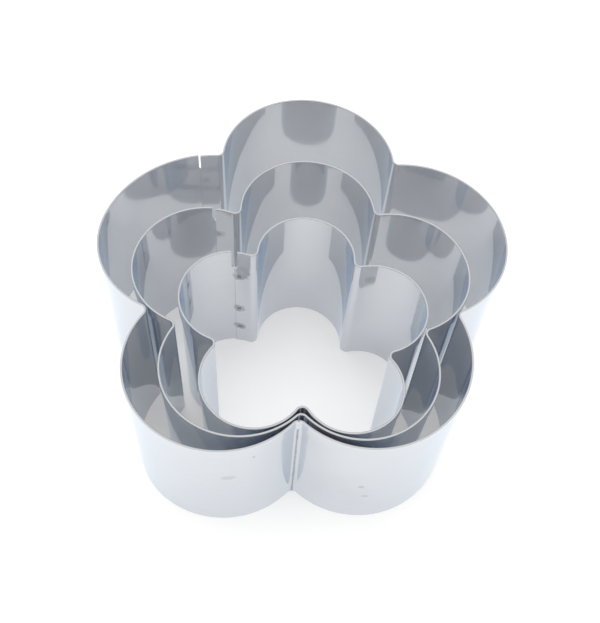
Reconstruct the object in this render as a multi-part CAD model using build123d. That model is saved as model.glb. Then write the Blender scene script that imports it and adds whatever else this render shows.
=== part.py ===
from build123d import *
from dataclasses import dataclass
from math import atan2, cos, degrees, pi, radians, sin, sqrt
import os

# A set of three flower cutters that stand one inside another. Each is one strip of
# stainless sheet: its top edge is folded over the outside into a safe rim, it is bent
# into five petals, and its ends lap in the upper left petal, where spot welds hold them.

# Steel strip, the same stock for the three cutters
sheet = 0.25
cutter_height = 40.0

# Folded rim
fold_depth = 3.6
fold_gap = 0.05
rim_width = 2 * sheet + fold_gap

# Lapped seam: the end that shows inside, the hidden end behind it, and their welds
lap = 2.2
lap_gap = 0.03
corner_radius = 0.5
notch_radius = 0.8
weld_diameter = 2.0
weld_rise = 0.02
weld_height_shares = (0.18, 0.4, 0.76)

# Large cutter: from its middle to the inside of the tips, and how much nearer its valleys
# are. The shares and turns, in degrees, are how uneven the hand-bent petals are,
# anticlockwise from the back petal and from the valley on its left.
large_reach = 51.3
large_petal_depth = 12.2
large_bend = 1.8
large_tip_shares = (1.048, 0.949, 1.022, 0.984, 0.998)
large_tip_turns = (-1.8, 2.6, 2.2, -2.5, 1.4)
large_valley_shares = (1.006, 0.949, 1.018, 0.983, 1.034)
large_valley_turns = (-4.7, 2.7, 0.3, -0.1, -0.2)
large_seam_start = 2.4
large_slit = 0.5
large_notch = 5.0

# Medium cutter: how far its tips lie inside the large one's, and its own petal depth
medium_tip_inset = 11.1
medium_petal_depth = 10.6
medium_bend = 1.7
medium_tip_shares = (0.999, 1.009, 1.0, 0.994, 1.005)
medium_tip_turns = (-1.4, 0.5, 0.1, -0.1, 0.6)
medium_valley_shares = (0.945, 1.007, 1.022, 0.998, 1.017)
medium_valley_turns = (-1.5, 0.1, 1.0, 0.8, 0.0)
medium_seam_start = 2.4
medium_slit = 1.0
medium_notch = 4.4

# Small cutter: how far its tips lie inside the medium one's, and its own petal depth
small_tip_inset = 10.6
small_petal_depth = 8.7
small_bend = 1.7
small_tip_shares = (1.001, 1.011, 1.004, 1.01, 0.969)
small_tip_turns = (1.6, -3.6, 1.6, 0.0, -0.5)
small_valley_shares = (1.044, 0.983, 0.995, 0.978, 0.967)
small_valley_turns = (-2.0, -0.3, 1.1, -1.6, 0.4)
small_seam_start = 1.4
small_slit = 1.4
small_notch = 6.4

# How the set stands: each cutter is pushed this way, in degrees from +X, out of the
# middle of the next larger one until its rim nearly meets that one's wall
nest_clearance = 0.3
medium_heading = -86.7
small_heading = -84.8
medium_turn = -0.6
small_turn = -1.6

petals = 5
petal_pitch = 360 / petals
back_heading = 90
seam_petal = 1
search_steps = 24
overrun = 1.0


@dataclass
class Cutter:
    """Sizes of one cutter's inside outline, of its seam, and how it is turned."""

    name: str
    reach: float
    petal_depth: float
    bend: float
    tip_shares: tuple
    tip_turns: tuple
    valley_shares: tuple
    valley_turns: tuple
    seam_start: float
    slit: float
    notch: float
    turn: float


@dataclass
class Arc:
    """A stretch of inside wall about one centre, from start anticlockwise, in degrees.
    side is 1 where the outside lies away from the centre, and -1 where it faces it."""

    centre: Vector
    radius: float
    start: float
    sweep: float
    side: int


def polar(distance, angle):
    return Vector(distance * cos(radians(angle)), distance * sin(radians(angle)))


def heading(start, end):
    return degrees(atan2(end.Y - start.Y, end.X - start.X))


def arc_between(centre, radius, start, end, side):
    return Arc(centre, radius, start, (end - start) % 360, side)


def half_petal(tip, tip_angle, valley, valley_angle, bend):
    """The half petal's centre and radius: square to the tip, tangent to the valley's bend."""
    lean = cos(radians(valley_angle - tip_angle))
    square = valley**2 + tip**2 - bend**2 - 2 * valley * tip * lean
    radius = square / (2 * (tip + bend - valley * lean))
    return polar(tip - radius, tip_angle), radius


def bend_centre(first, first_radius, second, second_radius, bend):
    """Centre of the bend that joins two half petals from the outside of the flower."""
    first_reach = first_radius + bend
    second_reach = second_radius + bend
    apart = (second - first).length
    along = (first_reach**2 - second_reach**2 + apart**2) / (2 * apart)
    aside = sqrt(first_reach**2 - along**2)
    forward = (second - first) / apart
    outward = Vector(forward.Y, -forward.X)
    return first + forward * along + outward * aside


def half_petals(cutter):
    """The two halves of each petal, as centre, radius and the tip's angle."""
    halves = []
    for petal in range(petals):
        middle = back_heading + petal * petal_pitch
        tip = cutter.reach * cutter.tip_shares[petal]
        tip_angle = middle + cutter.tip_turns[petal]
        pair = []
        for valley, side in ((petal - 1, -1), (petal, 1)):
            valley_reach = cutter.reach - cutter.petal_depth
            valley_reach = valley_reach * cutter.valley_shares[valley]
            valley_angle = middle + side * petal_pitch / 2 + cutter.valley_turns[valley]
            centre, radius = half_petal(
                tip, tip_angle, valley_reach + cutter.bend, valley_angle, cutter.bend
            )
            pair.append((centre, radius, tip_angle))
        halves.append(pair)
    return halves


def wall_arcs(cutter):
    """The inside wall, anticlockwise from the seam's valley round to that valley again.
    The last arc is the end that laps inside the first one, one sheet further in."""
    halves = half_petals(cutter)
    inner_step = sheet + lap_gap
    arcs = []
    for place in range(petals):
        petal = (seam_petal + place) % petals
        following = (petal + 1) % petals
        before = halves[petal - 1][1]
        first, last = halves[petal]
        after = halves[following][0]
        after_radius = after[1]
        if following == seam_petal:
            after_radius = after_radius - inner_step
        entry = bend_centre(before[0], before[1], first[0], first[1], cutter.bend)
        valley = bend_centre(last[0], last[1], after[0], after_radius, cutter.bend)
        tip_angle = first[2]
        arcs.append(arc_between(first[0], first[1], heading(first[0], entry), tip_angle, 1))
        arcs.append(arc_between(last[0], last[1], tip_angle, heading(last[0], valley), 1))
        bend_start = heading(valley, after[0])
        bend_end = heading(valley, last[0])
        arcs.append(arc_between(valley, cutter.bend, bend_start, bend_end, -1))
    return arcs, Arc(after[0], after_radius, heading(after[0], valley), 0, 1)


def part_of(arc, start_run, end_run):
    """The stretch of an arc between two distances along it from its start."""
    per_length = 180 / (pi * arc.radius)
    start = arc.start + start_run * per_length
    return Arc(arc.centre, arc.radius, start, (end_run - start_run) * per_length, arc.side)


def outline(arcs, outward):
    """Closed line that lies a distance outside the inside wall."""
    edges = []
    for arc in arcs:
        radius = arc.radius + arc.side * outward
        edges.append(CenterArc(arc.centre, radius, arc.start, arc.sweep).edge())
    return Compound(edges)


def turned(section, arc):
    """Bends a cross-section of the strip, drawn on the XZ plane, along an arc."""
    band = revolve(section, axis=Axis.Z, revolution_arc=arc.sweep)
    return Pos(arc.centre) * Rot(0, 0, arc.start) * band


def folded_band(arc):
    """Full-height wall whose top edge is folded down over the outside, as one sheet of even
    thickness with the fold gap between its two layers."""

    def at(outward, height):
        return Vector(arc.radius + arc.side * outward, 0, height)

    fold_top = cutter_height - sheet
    flap = rim_width - sheet
    raw_edge = cutter_height - fold_depth
    corners = (
        at(0, 0),
        at(0, cutter_height),
        at(rim_width, cutter_height),
        at(rim_width, raw_edge),
        at(flap, raw_edge),
        at(flap, fold_top),
        at(sheet, fold_top),
        at(sheet, 0),
    )
    return turned(make_face(Polyline(*corners, close=True).edges()), arc)


def flat_band(arc, inner, outer, top):
    """Wall without a fold, between two distances outward, up to a height."""
    low = arc.radius + inner
    high = arc.radius + outer
    corners = ((low, 0, 0), (high, 0, 0), (high, 0, top), (low, 0, top))
    section = make_face(Polyline(*corners, close=True).edges())
    return turned(section, arc)


def end_of_strip(arc, free_angle, slit_angle, notch_top, rounding, corner_heights):
    """End of the strip: a notch takes the fold away, and free corners are rounded."""
    band = folded_band(arc)
    free_edge = arc.centre + polar(arc.radius + sheet / 2, free_angle)

    way = 1 if free_angle > slit_angle else -1
    notch_height = cutter_height - notch_top + overrun
    cut = Box(rim_width + 2 * overrun, 2 * lap, notch_height, align=Align.MIN)
    cut = Pos(arc.radius - overrun, 0, notch_top) * cut
    foot = Vector(arc.radius, 0, notch_top)
    if rounding:
        foot_edge = cut.edges().filter_by(Axis.X).sort_by_distance(foot)[:1]
        cut = fillet(foot_edge, rounding)
    if way < 0:
        cut = mirror(cut, about=Plane.XZ)
    band = band - Pos(arc.centre) * Rot(0, 0, slit_angle) * cut

    corners = []
    for height in corner_heights:
        corner = Vector(free_edge.X, free_edge.Y, height)
        corners += band.edges().filter_by(Plane.XY).sort_by_distance(corner)[:1]
    return fillet(corners, corner_radius)


def build_cutter(cutter):
    """The strip and its spot welds, about the middle of the flower."""
    arcs, inner_end = wall_arcs(cutter)
    outer_end = Arc(inner_end.centre, arcs[0].radius, inner_end.start, 0, 1)
    slit_middle = cutter.seam_start + lap
    slit_start = slit_middle - cutter.slit / 2
    slit_end = slit_middle + cutter.slit / 2
    notch_top = cutter_height - cutter.notch

    shown = part_of(inner_end, 0, slit_middle)
    hidden = part_of(outer_end, cutter.seam_start, slit_end)
    rim_start = hidden.start + hidden.sweep
    rim_end = part_of(inner_end, slit_start, slit_end).start
    first_half = arc_between(
        arcs[0].centre, arcs[0].radius, hidden.start, arcs[0].start + arcs[0].sweep, 1
    )
    hidden_end = end_of_strip(
        first_half, hidden.start, rim_start, notch_top, notch_radius, (0, notch_top)
    )
    shown_end = end_of_strip(shown, shown.start + shown.sweep, rim_end, notch_top, 0, (0,))
    strip = hidden_end + [folded_band(arc) for arc in arcs[1:]] + shown_end

    lapped = part_of(inner_end, cutter.seam_start, slit_middle)
    melt = flat_band(lapped, -weld_rise, 2 * sheet + lap_gap + weld_rise, notch_top)
    weld_angle = lapped.start + lapped.sweep / 2
    pin = Cylinder(weld_diameter / 2, 4 * rim_width, rotation=(0, 90, 0))
    welds = []
    for share in weld_height_shares:
        spot = Pos(lapped.radius + rim_width / 2, 0, share * cutter_height)
        pin_place = Pos(lapped.centre) * Rot(0, 0, weld_angle) * spot
        welds.append((melt & (pin_place * pin)).solid())
    return strip.solid(), Compound(welds)


def pushed_place(inner, outer, way):
    """Where a cutter stands after it is pushed out of the middle of the next larger one."""
    wall = outline(wall_arcs(outer)[0], 0)
    rim = Rot(0, 0, inner.turn - outer.turn) * outline(wall_arcs(inner)[0], rim_width)
    clear = 0
    blocked = outer.reach
    for _ in range(search_steps):
        push = (clear + blocked) / 2
        if (Pos(polar(push, way)) * rim).distance_to(wall) > nest_clearance:
            clear = push
        else:
            blocked = push
    return polar(clear, way)


large = Cutter(
    "large",
    large_reach,
    large_petal_depth,
    large_bend,
    large_tip_shares,
    large_tip_turns,
    large_valley_shares,
    large_valley_turns,
    large_seam_start,
    large_slit,
    large_notch,
    0,
)
medium = Cutter(
    "medium",
    large.reach - medium_tip_inset,
    medium_petal_depth,
    medium_bend,
    medium_tip_shares,
    medium_tip_turns,
    medium_valley_shares,
    medium_valley_turns,
    medium_seam_start,
    medium_slit,
    medium_notch,
    medium_turn,
)
small = Cutter(
    "small",
    medium.reach - small_tip_inset,
    small_petal_depth,
    small_bend,
    small_tip_shares,
    small_tip_turns,
    small_valley_shares,
    small_valley_turns,
    small_seam_start,
    small_slit,
    small_notch,
    small_turn,
)

medium_place = pushed_place(medium, large, medium_heading)
small_place = medium_place + pushed_place(small, medium, small_heading).rotate(
    Axis.Z, medium_turn
)

large_strip, large_welds = build_cutter(large)
middle = large_strip.bounding_box().center()
to_centre = Pos(-middle.X, -middle.Y)

os.makedirs("parts", exist_ok=True)
for cutter, place in ((large, Vector()), (medium, medium_place), (small, small_place)):
    strip, welds = (large_strip, large_welds) if cutter is large else build_cutter(cutter)
    stand = to_centre * Pos(place) * Rot(0, 0, cutter.turn)
    export_step(stand * strip, f"parts/{cutter.name}_cutter_strip.step")
    export_step(stand * welds, f"parts/{cutter.name}_seam_welds.step")
    print(cutter.name, "stands at", to_centre.position + place)
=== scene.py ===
from dataclasses import dataclass
from math import atan2, cos, degrees, pi, radians, sin, sqrt

import bpy
from mathutils import Matrix, Quaternion, Vector


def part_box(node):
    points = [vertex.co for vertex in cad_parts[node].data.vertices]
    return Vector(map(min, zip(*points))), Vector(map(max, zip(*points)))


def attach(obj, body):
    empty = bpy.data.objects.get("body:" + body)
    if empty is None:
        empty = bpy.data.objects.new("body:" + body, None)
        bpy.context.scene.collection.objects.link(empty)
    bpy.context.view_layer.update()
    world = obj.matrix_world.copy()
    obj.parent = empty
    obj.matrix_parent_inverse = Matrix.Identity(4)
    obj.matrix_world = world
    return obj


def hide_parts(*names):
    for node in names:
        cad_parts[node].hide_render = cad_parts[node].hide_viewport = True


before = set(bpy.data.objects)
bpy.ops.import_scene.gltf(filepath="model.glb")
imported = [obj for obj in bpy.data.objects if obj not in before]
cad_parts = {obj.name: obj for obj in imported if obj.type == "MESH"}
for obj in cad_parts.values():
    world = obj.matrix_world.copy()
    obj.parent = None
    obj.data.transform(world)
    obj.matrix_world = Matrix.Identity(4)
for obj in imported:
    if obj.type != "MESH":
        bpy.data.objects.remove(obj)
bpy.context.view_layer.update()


# The large cutter's strip: bright rolled stainless sheet, its top edge folded down over
# the outside into a safe rim. It is bent by hand into five petals, and its two ends lap
# in the upper left petal. The fold is notched away there, which leaves a slit in the rim
# and the hidden end's rounded tongue below it.
SHEET = 0.00025
CUTTER_HEIGHT = 0.04
FOLD_DEPTH = 0.0036
FOLD_GAP = 0.00005
LAP = 0.0022
LAP_GAP = 0.00003
CORNER_RADIUS = 0.0005
NOTCH_RADIUS = 0.0008
CORNER_STEPS = 6
PETALS = 5
PETAL_PITCH = 360 / PETALS
BACK_HEADING = 90
SEAM_PETAL = 1
FRONT_VALLEY = 5
FOLD_STEPS = 12
WALL_STEP = 0.0006
BEND_STEP = 0.0002
NOTCH_STEP = 0.0009
WALL_ROW = 0.0045
SUPPORT = 0.00012
SMOOTH_ANGLE = 35

STEEL_GREY = (0.66, 0.668, 0.688)
GRAIN_CONTRAST = 0.03
# The tint towards which smudges, stains and painted shade darken the steel.
STAIN_AND_SHADE_TINT = (0.15, 0.16, 0.19)
EDGE_TINT = (0.9, 0.95, 1)
# Painted light: the pale blue, and the share of it, that lift the colour of walls seen deep in
# the mirrorings.
DEEP_BOUNCE_LIGHT_COLOUR = (0.86, 0.9, 0.96)
DEEP_BOUNCE_LIGHT_SHARE = 0.8
METALLIC = 0.84
STRIP_ROUGHNESS = 0.05
WAVE_DEPTH = 0.00016
WELD_HEIGHTS = (0.18 * CUTTER_HEIGHT, 0.4 * CUTTER_HEIGHT, 0.76 * CUTTER_HEIGHT)
WELD_STAIN_SIZE = (0.0016, 0.0016, 0.0015)
# Dirt and painted shade along the edge where the lap ends: its half widths and its height.
LAP_DIRT_AND_SHADE_SIZE = (0.00013, 0.00013, 1)
LAP_DIRT_AND_SHADE_HEIGHT = 0.014


@dataclass
class Cutter:
    """One cutter's inside outline, its seam, how it is turned, and how strongly its welds
    and its lap show. Shares and turns are how uneven the hand-bent petals are,
    anticlockwise from the back petal."""

    name: str
    reach: float
    petal_depth: float
    bend: float
    tip_shares: tuple
    tip_turns: tuple
    valley_shares: tuple
    valley_turns: tuple
    seam_start: float
    slit: float
    notch: float
    turn: float
    # How dark the line of dirt and painted shade along the lap's edge is.
    weld_stain: float
    lap_dirt_and_shade: float


@dataclass
class Arc:
    """A stretch of inside wall about one centre, from start anticlockwise, in degrees.
    side is 1 where the outside lies away from the centre, and -1 where it faces it."""

    centre: Vector
    radius: float
    start: float
    sweep: float
    side: int


@dataclass
class DarkSpot:
    """A darker spot on the steel, for real stains and for painted shade alike, with its half
    widths along X, Y and Z.
    """

    centre: tuple
    size: tuple
    strength: float


def polar(distance, angle):
    return Vector((distance * cos(radians(angle)), distance * sin(radians(angle)), 0))


def heading(start, end):
    return degrees(atan2(end.y - start.y, end.x - start.x))


def arc_between(centre, radius, start, end, side):
    return Arc(centre, radius, start, (end - start) % 360, side)


def half_petal(tip, tip_angle, valley, valley_angle, bend):
    """The half petal's centre and radius: square to the tip, tangent to the valley's bend."""
    lean = cos(radians(valley_angle - tip_angle))
    square = valley**2 + tip**2 - bend**2 - 2 * valley * tip * lean
    radius = square / (2 * (tip + bend - valley * lean))
    return polar(tip - radius, tip_angle), radius


def bend_centre(first, first_radius, second, second_radius, bend):
    """Centre of the bend that joins two half petals from the outside of the flower."""
    first_reach = first_radius + bend
    second_reach = second_radius + bend
    apart = (second - first).length
    along = (first_reach**2 - second_reach**2 + apart**2) / (2 * apart)
    aside = sqrt(first_reach**2 - along**2)
    forward = (second - first) / apart
    outward = Vector((forward.y, -forward.x, 0))
    return first + forward * along + outward * aside


def half_petals(cutter):
    """The two halves of each petal, as centre, radius and the tip's angle."""
    halves = []
    for petal in range(PETALS):
        middle = BACK_HEADING + petal * PETAL_PITCH
        tip = cutter.reach * cutter.tip_shares[petal]
        tip_angle = middle + cutter.tip_turns[petal]
        pair = []
        for valley, side in ((petal - 1, -1), (petal, 1)):
            valley_reach = (cutter.reach - cutter.petal_depth) * cutter.valley_shares[valley]
            valley_angle = middle + side * PETAL_PITCH / 2 + cutter.valley_turns[valley]
            centre, radius = half_petal(
                tip, tip_angle, valley_reach + cutter.bend, valley_angle, cutter.bend
            )
            pair.append((centre, radius, tip_angle))
        halves.append(pair)
    return halves


def wall_arcs(cutter):
    """The inside wall, anticlockwise from the seam's valley round to that valley again,
    and the arc of the end that laps inside the first one, one sheet further in."""
    halves = half_petals(cutter)
    bend = cutter.bend
    arcs = []
    for place in range(PETALS):
        petal = (SEAM_PETAL + place) % PETALS
        following = (petal + 1) % PETALS
        before = halves[petal - 1][1]
        first, last = halves[petal]
        after = halves[following][0]
        after_radius = after[1]
        if following == SEAM_PETAL:
            after_radius = after_radius - SHEET - LAP_GAP
        entry = bend_centre(before[0], before[1], first[0], first[1], bend)
        valley = bend_centre(last[0], last[1], after[0], after_radius, bend)
        tip_angle = first[2]
        valley_start = heading(valley, after[0])
        valley_end = heading(valley, last[0])
        arcs.append(arc_between(first[0], first[1], heading(first[0], entry), tip_angle, 1))
        arcs.append(arc_between(last[0], last[1], tip_angle, heading(last[0], valley), 1))
        arcs.append(arc_between(valley, bend, valley_start, valley_end, -1))
    return arcs, Arc(after[0], after_radius, heading(after[0], valley), 0, 1)


def part_of(arc, start_run, end_run):
    """The stretch of an arc between two distances along it from its start."""
    per_length = 180 / (pi * arc.radius)
    start = arc.start + start_run * per_length
    return Arc(arc.centre, arc.radius, start, (end_run - start_run) * per_length, arc.side)


def select_faces(piece, wanted):
    """Leaves only the faces that wanted() picks by their centre and normal selected."""
    bpy.ops.mesh.select_mode(type="FACE")
    bpy.ops.mesh.select_all(action="DESELECT")
    bpy.ops.object.mode_set(mode="OBJECT")
    for face in piece.data.polygons:
        face.select = wanted(face.center, face.normal)
    bpy.ops.object.mode_set(mode="EDIT")


def select_edges(piece, wanted):
    """Leaves only the edges that wanted() picks by their two ends selected."""
    bpy.ops.mesh.select_mode(type="EDGE")
    bpy.ops.mesh.select_all(action="DESELECT")
    bpy.ops.object.mode_set(mode="OBJECT")
    points = piece.data.vertices
    for edge in piece.data.edges:
        edge.select = wanted(points[edge.vertices[0]].co, points[edge.vertices[1]].co)
    bpy.ops.object.mode_set(mode="EDIT")


def extrude_up(height):
    bpy.ops.mesh.extrude_region_move(TRANSFORM_OT_translate={"value": (0, 0, height)})


def folded_section(name, arc, notch_top):
    """The strip's cross-section with its folded rim, standing at the start of an arc."""
    rows = round(notch_top / WALL_ROW)
    row = notch_top / rows
    bpy.ops.object.select_all(action="DESELECT")
    bpy.ops.mesh.primitive_plane_add(size=1, rotation=(pi / 2, 0, 0))
    piece = bpy.context.object
    piece.name = name
    bpy.ops.object.transform_apply(location=True, rotation=True, scale=True)
    bpy.ops.object.mode_set(mode="EDIT")
    bpy.ops.mesh.select_all(action="SELECT")
    bpy.ops.transform.translate(value=(0.5, 0, 0.5))
    bpy.ops.transform.resize(value=(SHEET, 1, row), center_override=(0, 0, 0))
    select_edges(piece, lambda a, b: min(a.z, b.z) > row / 2)
    for _ in range(rows - 1):
        extrude_up(row)
    fold_height = CUTTER_HEIGHT - SHEET - FOLD_GAP / 2
    extrude_up(fold_height - SUPPORT - notch_top)
    extrude_up(SUPPORT)
    # A spin about Y by -pi carries the edge over the top and down the outside.
    bpy.ops.mesh.spin(
        steps=FOLD_STEPS,
        angle=-pi,
        center=(SHEET + FOLD_GAP / 2, 0, fold_height),
        axis=(0, 1, 0),
    )
    extrude_up(-SUPPORT)
    extrude_up(CUTTER_HEIGHT - FOLD_DEPTH - fold_height + SUPPORT)
    bpy.ops.object.mode_set(mode="OBJECT")
    turned = Matrix.Rotation(radians(arc.start), 4, "Z")
    piece.data.transform(
        Matrix.Translation(arc.centre) @ turned @ Matrix.Translation((arc.radius, 0, 0))
    )
    return piece


def bend_along(arc, step):
    """Spins the selected end of the strip along an arc. A spin turns clockwise."""
    length = abs(radians(arc.sweep)) * arc.radius
    bpy.ops.mesh.spin(
        steps=max(2, round(length / step)),
        angle=-arc.side * radians(arc.sweep),
        center=arc.centre,
        axis=(0, 0, 1),
    )


def tongue_faces(arc, angle, notch_top):
    """Picks the faces of the wall below the notch in the strip's end at an angle."""
    way = polar(1, angle + 90)
    spot = arc.centre + polar(arc.radius + SHEET / 2, angle)

    def wanted(centre, normal):
        near = (Vector((centre.x, centre.y, 0)) - spot).length < SHEET
        return near and abs(normal.dot(way)) > 0.99 and centre.z < notch_top

    return wanted


def round_corner(piece, arc, angle, height, radius):
    """Rounds the corner of the strip's end at an angle of an arc and a height."""
    inner = arc.centre + polar(arc.radius, angle) + Vector((0, 0, height))
    outer = arc.centre + polar(arc.radius + SHEET, angle) + Vector((0, 0, height))
    close = SHEET / 5

    def wanted(a, b):
        there = (a - inner).length < close and (b - outer).length < close
        return there or ((b - inner).length < close and (a - outer).length < close)

    select_edges(piece, wanted)
    bpy.ops.mesh.bevel(
        offset=radius, segments=CORNER_STEPS, profile=0.5, affect="EDGES", offset_type="OFFSET"
    )


def form_strip(cutter):
    """Bends the folded section round the whole outline, with its two lapped ends."""
    arcs, inner_end = wall_arcs(cutter)
    slit_middle = cutter.seam_start + LAP
    slit_start = slit_middle - cutter.slit / 2
    slit_end = slit_middle + cutter.slit / 2
    notch_top = CUTTER_HEIGHT - cutter.notch
    first = arcs[0]
    first_length = radians(first.sweep) * first.radius
    rim = part_of(first, slit_end, first_length)
    hidden = part_of(first, slit_end, cutter.seam_start)
    shown = part_of(inner_end, slit_start, slit_middle)

    piece = folded_section(f"{cutter.name}_strip", rim, notch_top)
    bpy.ops.object.mode_set(mode="EDIT")
    bpy.ops.mesh.select_mode(type="FACE")
    bpy.ops.mesh.select_all(action="SELECT")
    bend_along(rim, WALL_STEP)
    for arc in arcs[1:]:
        bend_along(arc, WALL_STEP if arc.side > 0 else BEND_STEP)
    bend_along(part_of(inner_end, 0, slit_start), WALL_STEP)
    select_faces(piece, tongue_faces(shown, shown.start, notch_top))
    bend_along(shown, WALL_STEP)
    select_faces(piece, tongue_faces(hidden, hidden.start, notch_top))
    bend_along(hidden, NOTCH_STEP)
    bpy.ops.mesh.select_all(action="SELECT")
    bpy.ops.mesh.normals_make_consistent(inside=False)
    hidden_tip = hidden.start + hidden.sweep
    shown_tip = shown.start + shown.sweep
    round_corner(piece, hidden, hidden_tip, 0, CORNER_RADIUS)
    round_corner(piece, hidden, hidden_tip, notch_top, CORNER_RADIUS)
    round_corner(piece, hidden, hidden.start, notch_top, NOTCH_RADIUS)
    round_corner(piece, shown, shown_tip, 0, CORNER_RADIUS)
    bpy.ops.object.mode_set(mode="OBJECT")
    return piece


def stand_in_place(strip, cutter, node):
    """Turns the strip, centres it on its CAD node, and says how it was moved."""
    turn = Matrix.Rotation(radians(cutter.turn), 4, "Z")
    strip.data.transform(turn)
    node_low, node_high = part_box(node)
    shift = [0, 0, 0]
    for axis in (0, 1):
        spread = [point.co[axis] for point in strip.data.vertices]
        shift[axis] = (node_low[axis] + node_high[axis] - min(spread) - max(spread)) / 2
    move = Matrix.Translation(shift)
    strip.data.transform(move)
    return move @ turn


def weld_line(cutter):
    """Where the upright row of welds stands, in X and Y."""
    low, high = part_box(f"{cutter.name}_seam_welds")
    return [(low[axis] + high[axis]) / 2 for axis in (0, 1)]


def seam_stains_and_shade(cutter, moved):
    """The dark line where the lap ends, partly dirt and partly painted shade, and the heat's
    stain round each weld.
    """
    inner_end = wall_arcs(cutter)[1]
    lap = part_of(inner_end, 0, cutter.seam_start + LAP)
    edge = moved @ (lap.centre + polar(lap.radius, lap.start + lap.sweep))
    # Dirt and painted shade: a thin dark line along the edge where the lap ends.
    stains_and_shade = [DarkSpot((edge.x, edge.y, LAP_DIRT_AND_SHADE_HEIGHT), LAP_DIRT_AND_SHADE_SIZE, cutter.lap_dirt_and_shade)]
    x, y = weld_line(cutter)
    for height in WELD_HEIGHTS:
        stains_and_shade.append(DarkSpot((x, y, height), WELD_STAIN_SIZE, cutter.weld_stain))
    return stains_and_shade


def add_noise(tree, scale, stretch, detail, roughness=0.5):
    """Noise in the strip's own coordinates, drawn out along an axis by a small stretch."""
    place = tree.nodes.new("ShaderNodeTexCoord")
    mapping = tree.nodes.new("ShaderNodeMapping")
    mapping.inputs["Scale"].default_value = stretch
    tree.links.new(place.outputs["Object"], mapping.inputs["Vector"])
    texture = tree.nodes.new("ShaderNodeTexNoise")
    texture.inputs["Scale"].default_value = scale
    texture.inputs["Detail"].default_value = detail
    texture.inputs["Roughness"].default_value = roughness
    tree.links.new(mapping.outputs["Vector"], texture.inputs["Vector"])
    return texture.outputs["Fac"]


def add_range(tree, value, low, high, to_low, to_high):
    node = tree.nodes.new("ShaderNodeMapRange")
    node.inputs["From Min"].default_value = low
    node.inputs["From Max"].default_value = high
    node.inputs["To Min"].default_value = to_low
    node.inputs["To Max"].default_value = to_high
    tree.links.new(value, node.inputs["Value"])
    return node.outputs["Result"]


def add_math(tree, operation, first, second):
    node = tree.nodes.new("ShaderNodeMath")
    node.operation = operation
    tree.links.new(first, node.inputs[0])
    tree.links.new(second, node.inputs[1])
    return node.outputs[0]


def add_mix(tree, share, first, second):
    """Mixes a colour socket towards a plain colour by a share."""
    node = tree.nodes.new("ShaderNodeMixRGB")
    node.inputs["Color2"].default_value = (*second, 1)
    tree.links.new(share, node.inputs["Fac"])
    tree.links.new(first, node.inputs["Color1"])
    return node.outputs["Color"]


def add_dark_spot(tree, ragged, dark_spot):
    """The dark spot's strength at each place, with a ragged edge."""
    place = tree.nodes.new("ShaderNodeTexCoord")
    mapping = tree.nodes.new("ShaderNodeMapping")
    mapping.inputs["Location"].default_value = [
        -middle / size for middle, size in zip(dark_spot.centre, dark_spot.size)
    ]
    mapping.inputs["Scale"].default_value = [1 / size for size in dark_spot.size]
    tree.links.new(place.outputs["Object"], mapping.inputs["Vector"])
    distance = tree.nodes.new("ShaderNodeVectorMath")
    distance.operation = "LENGTH"
    tree.links.new(mapping.outputs["Vector"], distance.inputs[0])
    edge = add_math(tree, "ADD", distance.outputs["Value"], ragged)
    return add_range(tree, edge, 0.75, 1.1, dark_spot.strength, 0)


def steel_surface():
    """Rolling grain, smudges from handling, and the waviness of hand-bent sheet."""
    group = bpy.data.node_groups.new("steel_surface", "ShaderNodeTree")
    for output, kind in (("Grain", "Float"), ("Smudge", "Float"), ("Normal", "Vector")):
        group.interface.new_socket(name=output, in_out="OUTPUT", socket_type=f"NodeSocket{kind}")
    out = group.nodes.new("NodeGroupOutput")
    grain = add_noise(group, 900, (0.03, 0.03, 6), 4, 0.7)
    group.links.new(add_range(group, grain, 0.3, 0.7, 0, 1), out.inputs["Grain"])
    smudge = add_noise(group, 60, (1, 1, 0.8), 3)
    group.links.new(add_range(group, smudge, 0.5, 0.75, 0, 1), out.inputs["Smudge"])
    bump = group.nodes.new("ShaderNodeBump")
    bump.inputs["Strength"].default_value = 1
    bump.inputs["Distance"].default_value = WAVE_DEPTH
    group.links.new(add_noise(group, 75, (1, 1, 0.4), 1.5), bump.inputs["Height"])
    group.links.new(bump.outputs["Normal"], out.inputs["Normal"])
    return group


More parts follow.
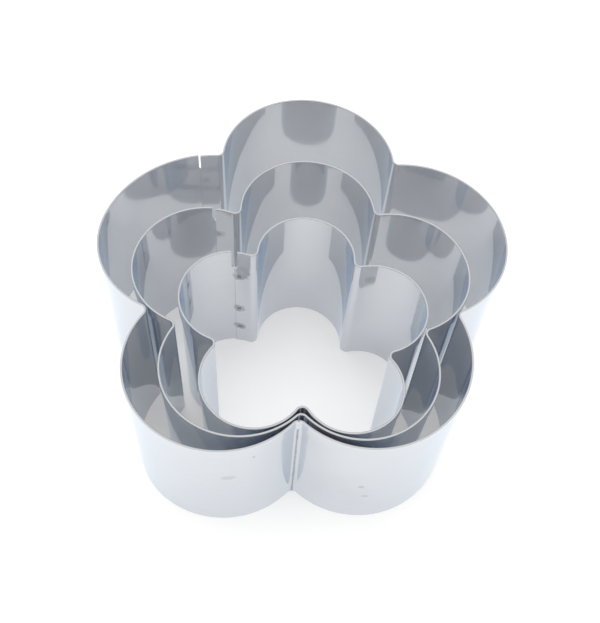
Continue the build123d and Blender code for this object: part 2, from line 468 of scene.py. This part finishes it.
def steel_material(name, base, roughness, stains_and_shade):
    """Bright stainless between two greys, dulled by its grain, darkened by its smudges, its
    stains and painted shade, and lifted by painted light where it is seen deep in the
    mirrorings.
    """
    material = bpy.data.materials.new(name)
    material.use_nodes = True
    tree = material.node_tree
    shader = tree.nodes["Principled BSDF"]
    shader.inputs["Metallic"].default_value = METALLIC
    shader.inputs["Specular Tint"].default_value = (*EDGE_TINT, 1)
    shader.inputs["Anisotropic"].default_value = 0.4
    shader.inputs["Anisotropic Rotation"].default_value = 0.25
    surface = tree.nodes.new("ShaderNodeGroup")
    surface.node_tree = SURFACE
    tree.links.new(surface.outputs["Normal"], shader.inputs["Normal"])

    grained = tree.nodes.new("ShaderNodeMixRGB")
    grained.inputs["Color1"].default_value = (*base, 1)
    grained.inputs["Color2"].default_value = (*(part + GRAIN_CONTRAST for part in base), 1)
    tree.links.new(surface.outputs["Grain"], grained.inputs["Fac"])
    ragged = add_noise(tree, 800, (1, 1, 0.8), 3, 0.6)
    ragged = add_range(tree, ragged, 0.25, 0.75, -0.35, 0.35)
    dark = add_range(tree, surface.outputs["Smudge"], 0, 1, 0, 0.06)
    for dark_spot in stains_and_shade:
        dark = add_math(tree, "MAXIMUM", dark, add_dark_spot(tree, ragged, dark_spot))
    # Smudges, real stains and painted shade darken the colour towards one tint.
    stained_and_shaded = add_mix(tree, dark, grained.outputs["Color"], STAIN_AND_SHADE_TINT)
    # Painted light: where a wall is seen after two or more mirrorings, its base colour is lifted
    # most of the way to a pale blue, which brightens the reflections deep between the walls.
    path = tree.nodes.new("ShaderNodeLightPath")
    deep_bounce_light = add_range(tree, path.outputs["Ray Depth"], 1, 2, 0, DEEP_BOUNCE_LIGHT_SHARE)
    tree.links.new(add_mix(tree, deep_bounce_light, stained_and_shaded, DEEP_BOUNCE_LIGHT_COLOUR), shader.inputs["Base Color"])

    dull = add_range(tree, surface.outputs["Grain"], 0, 1, roughness, roughness + 0.03)
    smudged = add_range(tree, surface.outputs["Smudge"], 0, 1, 0, 0.05)
    dull = add_math(tree, "ADD", dull, smudged)
    dull = add_math(tree, "ADD", dull, add_range(tree, dark, 0.06, 1, 0, 0.35))
    tree.links.new(dull, shader.inputs["Roughness"])
    return material


def finish_strip(strip, cutter, node, stains_and_shade):
    """Smooths the strip, gives it its steel, and puts it in its CAD node's place."""
    bpy.ops.object.select_all(action="DESELECT")
    strip.select_set(True)
    bpy.context.view_layer.objects.active = strip
    bpy.ops.object.shade_smooth_by_angle(angle=radians(SMOOTH_ANGLE))
    strip.data.materials.append(
        steel_material(f"{cutter.name}_stainless", STEEL_GREY, STRIP_ROUGHNESS, stains_and_shade)
    )
    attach(strip, f"{cutter.name}_cutter")
    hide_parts(node)


SURFACE = steel_surface()
LARGE = Cutter(
    name="large",
    reach=0.0513,
    petal_depth=0.0122,
    bend=0.0018,
    tip_shares=(1.048, 0.949, 1.022, 0.984, 0.998),
    tip_turns=(-1.8, 2.6, 2.2, -2.5, 1.4),
    valley_shares=(1.006, 0.949, 1.018, 0.983, 1.034),
    valley_turns=(-4.7, 2.7, 0.3, -0.1, -0.2),
    seam_start=0.0024,
    slit=0.0005,
    notch=0.005,
    turn=0,
    weld_stain=0.12,
    lap_dirt_and_shade=0.25,
)
# The specks and smudges on the two front walls.
FRONT_STAINS = (
    DarkSpot((-0.01, -0.0493, 0.034), (0.0003, 0.001, 0.0003), 0.5),
    DarkSpot((-0.0156, -0.0506, 0.0252), (0.0018, 0.001, 0.001), 0.2),
    DarkSpot((0.0144, -0.0492, 0.0185), (0.0008, 0.001, 0.0007), 0.3),
    DarkSpot((0.0159, -0.0492, 0.0129), (0.0009, 0.001, 0.0006), 0.25),
)
# Painted shade: a dark line down the large cutter's front valley, where shade falls in the
# crease.
CREASE_SHADE_HEIGHT = 0.015
CREASE_SHADE_SIZE = (0.0003, 0.0005, 1)
CREASE_SHADE_STRENGTH = 0.6

strip = form_strip(LARGE)
moved = stand_in_place(strip, LARGE, "large_cutter_strip")
valley = wall_arcs(LARGE)[0][FRONT_VALLEY]
crease_shade_spot = moved @ (valley.centre + polar(valley.radius, valley.start + valley.sweep / 2))
stains_and_shade = seam_stains_and_shade(LARGE, moved)
# Painted shade in the front valley's crease.
stains_and_shade.append(DarkSpot((crease_shade_spot.x, crease_shade_spot.y, CREASE_SHADE_HEIGHT), CREASE_SHADE_SIZE, CREASE_SHADE_STRENGTH))
stains_and_shade.extend(FRONT_STAINS)
finish_strip(strip, LARGE, "large_cutter_strip", stains_and_shade)


# The medium cutter's strip: the same steel strip, folded, bent, notched and lapped like
# the large one, and pushed loosely against it at the front valley.
MEDIUM = Cutter(
    name="medium",
    reach=LARGE.reach - 0.0111,
    petal_depth=0.0106,
    bend=0.0017,
    tip_shares=(0.999, 1.009, 1.0, 0.994, 1.005),
    tip_turns=(-1.4, 0.5, 0.1, -0.1, 0.6),
    valley_shares=(0.945, 1.007, 1.022, 0.998, 1.017),
    valley_turns=(-1.5, 0.1, 1.0, 0.8, 0.0),
    seam_start=0.0024,
    slit=0.001,
    notch=0.0044,
    turn=-0.6,
    weld_stain=0.18,
    lap_dirt_and_shade=0.3,
)

strip = form_strip(MEDIUM)
moved = stand_in_place(strip, MEDIUM, "medium_cutter_strip")
finish_strip(strip, MEDIUM, "medium_cutter_strip", seam_stains_and_shade(MEDIUM, moved))


# The small cutter's strip: the same steel strip again, pushed loosely against the medium
# one. Heat has stained it above the top weld, and its right petal has a dark smudge.
SMALL = Cutter(
    name="small",
    reach=MEDIUM.reach - 0.0106,
    petal_depth=0.0087,
    bend=0.0017,
    tip_shares=(1.001, 1.011, 1.004, 1.01, 0.969),
    tip_turns=(1.6, -3.6, 1.6, 0.0, -0.5),
    valley_shares=(1.044, 0.983, 0.995, 0.978, 0.967),
    valley_turns=(-2.0, -0.3, 1.1, -1.6, 0.4),
    seam_start=0.0014,
    slit=0.0014,
    notch=0.0064,
    turn=-1.6,
    weld_stain=0.5,
    lap_dirt_and_shade=0.4,
)
HEAT_ASIDE = 0.0009
HEAT_HEIGHT = 0.0324
HEAT_SIZE = (0.0018, 0.0018, 0.0026)
HEAT_STRENGTH = 0.35
PETAL_SMUDGE = DarkSpot((0.0161, -0.0027, 0.0342), (0.0013, 0.0013, 0.0015), 0.3)

strip = form_strip(SMALL)
moved = stand_in_place(strip, SMALL, "small_cutter_strip")
weld_x, weld_y = weld_line(SMALL)
stains_and_shade = seam_stains_and_shade(SMALL, moved)
stains_and_shade.append(DarkSpot((weld_x + HEAT_ASIDE, weld_y, HEAT_HEIGHT), HEAT_SIZE, HEAT_STRENGTH))
stains_and_shade.append(PETAL_SMUDGE)
finish_strip(strip, SMALL, "small_cutter_strip", stains_and_shade)


# The spot welds: round marks where the two layers of each seam are pressed and melted
# together, dull and tinted grey-blue by the heat, most of all on the small cutter.
WELD_ROUGHNESS = 0.2
WELD_CORE_SIZE = (0.0008, 0.0008, 0.0008)
WELD_CORE_GAIN = 1.2
WELD_DARKENING = 0.45

for cutter in (LARGE, MEDIUM, SMALL):
    heat = cutter.weld_stain
    weld_x, weld_y = weld_line(cutter)
    cores = [
        DarkSpot((weld_x, weld_y, height), WELD_CORE_SIZE, min(1, heat * WELD_CORE_GAIN))
        for height in WELD_HEIGHTS
    ]
    base = [part * (1 - WELD_DARKENING * heat) for part in STEEL_GREY]
    welds = bpy.data.objects[f"{cutter.name}_seam_welds"]
    welds.data.materials.clear()
    welds.data.materials.append(
        steel_material(f"{cutter.name}_weld_marks", base, WELD_ROUGHNESS, cores)
    )


# The floor: a plain white sheet of paper, lit so that it shows white and keeps a faint
# shadow. The metal shows it as the camera does.
FLOOR_SIZE = 4
PAPER_GREY = 0.8
PAPER_GLOW = 0.35


def add_seen(tree):
    """Is 1 for what the camera sees, either directly or mirrored by the metal."""
    path = tree.nodes.new("ShaderNodeLightPath")
    camera_ray = path.outputs["Is Camera Ray"]
    return add_math(tree, "MAXIMUM", camera_ray, path.outputs["Is Glossy Ray"])


bpy.ops.object.select_all(action="DESELECT")
bpy.ops.mesh.primitive_plane_add(size=FLOOR_SIZE)
floor = bpy.context.object
floor.name = "floor"
paper = bpy.data.materials.new("white_paper")
paper.use_nodes = True
tree = paper.node_tree
tree.nodes.clear()
surface = tree.nodes.new("ShaderNodeOutputMaterial")
diffuse = tree.nodes.new("ShaderNodeBsdfDiffuse")
diffuse.inputs["Color"].default_value = (PAPER_GREY, PAPER_GREY, PAPER_GREY, 1)
glow = tree.nodes.new("ShaderNodeEmission")
glow.inputs["Color"].default_value = (1, 1, 1, 1)
amount = add_range(tree, add_seen(tree), 0, 1, 0, PAPER_GLOW)
tree.links.new(amount, glow.inputs["Strength"])
both = tree.nodes.new("ShaderNodeAddShader")
tree.links.new(diffuse.outputs[0], both.inputs[0])
tree.links.new(glow.outputs[0], both.inputs[1])
tree.links.new(both.outputs[0], surface.inputs["Surface"])
floor.data.materials.append(paper)


# The light: one large soft lamp above and behind the cutters, and an even white studio
# round them that the rims mirror a little less brightly.
LAMP_PLACE = Vector((-0.05, 0.25, 0.75))
LAMP_SIZE = 0.45
LAMP_POWER = 1.5
STUDIO_LIGHT = 1
STUDIO_MIRRORED = 0.85

lamp_data = bpy.data.lights.new("soft_lamp", "AREA")
lamp_data.size = LAMP_SIZE
lamp_data.energy = LAMP_POWER
lamp = bpy.data.objects.new("soft_lamp", lamp_data)
bpy.context.scene.collection.objects.link(lamp)
lamp.location = LAMP_PLACE
lamp.visible_glossy = False
lamp.rotation_mode = "QUATERNION"
lamp.rotation_quaternion = (-LAMP_PLACE).to_track_quat("-Z", "Y")

world = bpy.data.worlds.new("studio")
bpy.context.scene.world = world
world.use_nodes = True
tree = world.node_tree
sky = tree.nodes["Background"]
sky.inputs["Color"].default_value = (1, 1, 1, 1)
strength = add_range(tree, add_seen(tree), 0, 1, STUDIO_LIGHT, STUDIO_MIRRORED)
tree.links.new(strength, sky.inputs["Strength"])


# The camera stands in front of the set and slightly to its left, and looks down on it.
# The walls mirror one another many times, so the light may bounce often.
FOCAL_MM = 52.54
SENSOR_MM = 36
ELEVATION = 57.495
TURN = -3.619
ROLL = 5.008
DISTANCE = 0.25375
TARGET = Vector((0.0007507, 0.0093647, 0))
GLOSSY_BOUNCES = 12
ALL_BOUNCES = 16

back = Vector((
    sin(radians(TURN)) * cos(radians(ELEVATION)),
    -cos(radians(TURN)) * cos(radians(ELEVATION)),
    sin(radians(ELEVATION)),
))
camera_data = bpy.data.cameras.new("camera")
camera_data.lens = FOCAL_MM
camera_data.sensor_width = SENSOR_MM
camera_data.clip_start = 0.01
camera = bpy.data.objects.new("camera", camera_data)
bpy.context.scene.collection.objects.link(camera)
camera.location = TARGET + back * DISTANCE
camera.rotation_mode = "QUATERNION"
roll = Quaternion((0, 0, 1), radians(ROLL))
camera.rotation_quaternion = (-back).to_track_quat("-Z", "Y") @ roll
bpy.context.scene.camera = camera
bpy.context.scene.view_settings.view_transform = "Standard"
bpy.context.scene.cycles.glossy_bounces = GLOSSY_BOUNCES
bpy.context.scene.cycles.max_bounces = ALL_BOUNCES
